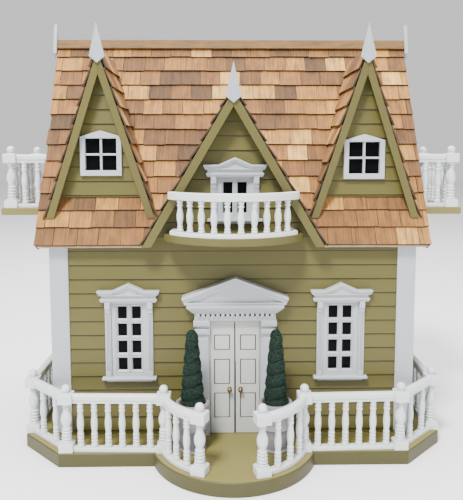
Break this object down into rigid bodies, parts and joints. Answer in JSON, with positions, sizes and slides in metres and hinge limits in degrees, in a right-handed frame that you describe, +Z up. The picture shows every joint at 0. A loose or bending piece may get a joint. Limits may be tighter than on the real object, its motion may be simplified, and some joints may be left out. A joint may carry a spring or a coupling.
{
  "type": "wooden dollhouse",
  "caption": "Open-backed wooden dollhouse with lap siding, cedar shingle roof, dormers, railed porch and balconies, and a hinged double front door.",
  "frame": {"origin": "middle of the base's underside, halfway between the porch step's front and the base's rear edge", "axes": "+X to the right seen from the front, +Y from the front door towards the open back, +Z up"},
  "size_m": [0.74, 0.4743, 0.6685],
  "materials": {
    "brass_hardware": "polished brass, lightly tarnished",
    "cedar_shingle": "bare sawn cedar, each shingle a slightly different tan to brown",
    "deck_paint": "olive satin paint on a wooden deck, slightly worn along its edges",
    "door_paint": "white satin paint with dark lines worn into the panel grooves",
    "finial_paint": "pale grey-white paint",
    "floor_wood": "stained plank floor, satin varnish",
    "panel_wood": "sanded birch plywood, painted cream on the room side",
    "planter_resin": "cast grey resin, matte",
    "rake_paint": "olive-brown paint, grain showing",
    "ridge_cedar": "bare planed cedar",
    "roof_panel_wood": "bare plywood sheathing",
    "siding_paint": "olive satin paint on lap siding, faint brushed grain",
    "topiary_foliage": "dark green flocked artificial leaves",
    "white_paint": "white satin paint on turned and moulded wood",
    "window_pane": "near-black acrylic glazing, polished"
  },
  "bodies": {
    "house": {"base_deck": "deck_paint", "centre_gable_roof": "roof_panel_wood", "centre_gable_shingles": "cedar_shingle", "centre_window": "white_paint", "corner_boards": "white_paint", "door_dentils": "white_paint", "door_pediment": "white_paint", "door_surround": "white_paint", "front_balcony_balusters": "white_paint", "front_balcony_floor": "deck_paint", "front_balcony_rails": "white_paint", "front_finials": "finial_paint", "front_roof_panel": "roof_panel_wood", "front_shingles": "cedar_shingle", "front_siding": "siding_paint", "front_wall": "panel_wood", "gable_rake_boards": "rake_paint", "left_balcony_floor": "deck_paint", "left_balcony_railing": "white_paint", "left_dormer_roof": "roof_panel_wood", "left_dormer_shingles": "cedar_shingle", "left_dormer_siding": "siding_paint", "left_dormer_window": "white_paint", "left_front_window": "white_paint", "left_gable_wall": "panel_wood", "left_planter": "planter_resin", "left_side_windows": "white_paint", "left_siding": "siding_paint", "left_topiary": "topiary_foliage", "partition_walls": "panel_wood", "porch_balusters": "white_paint", "porch_newels": "white_paint", "porch_rails": "white_paint", "rear_roof_panel": "roof_panel_wood", "rear_shingles": "cedar_shingle", "ridge_board": "ridge_cedar", "right_balcony_floor": "deck_paint", "right_balcony_railing": "white_paint", "right_dormer_roof": "roof_panel_wood", "right_dormer_shingles": "cedar_shingle", "right_dormer_siding": "siding_paint", "right_dormer_window": "white_paint", "right_front_window": "white_paint", "right_gable_wall": "panel_wood", "right_planter": "planter_resin", "right_side_windows": "white_paint", "right_siding": "siding_paint", "right_topiary": "topiary_foliage", "side_finials": "finial_paint", "side_rake_boards": "rake_paint", "staircase": "floor_wood", "upper_floor": "floor_wood", "window_panes": "window_pane"},
    "left_door": {"left_door_leaf": "door_paint", "left_door_pins": "brass_hardware", "left_door_knob": "brass_hardware"},
    "right_door": {"right_door_leaf": "door_paint", "right_door_pins": "brass_hardware", "right_door_knob": "brass_hardware"}
  },
  "joints": [
    {"name": "left_door_hinge", "type": "hinge", "parent": "house", "child": "left_door", "pos_m": [-0.03325, -0.0895, 0.11], "axis": [0, 0, 1], "range_deg": [0, 85]},
    {"name": "right_door_hinge", "type": "hinge", "parent": "house", "child": "right_door", "pos_m": [0.03825, -0.0895, 0.11], "axis": [0, 0, -1], "range_deg": [0, 85]}
  ]
}
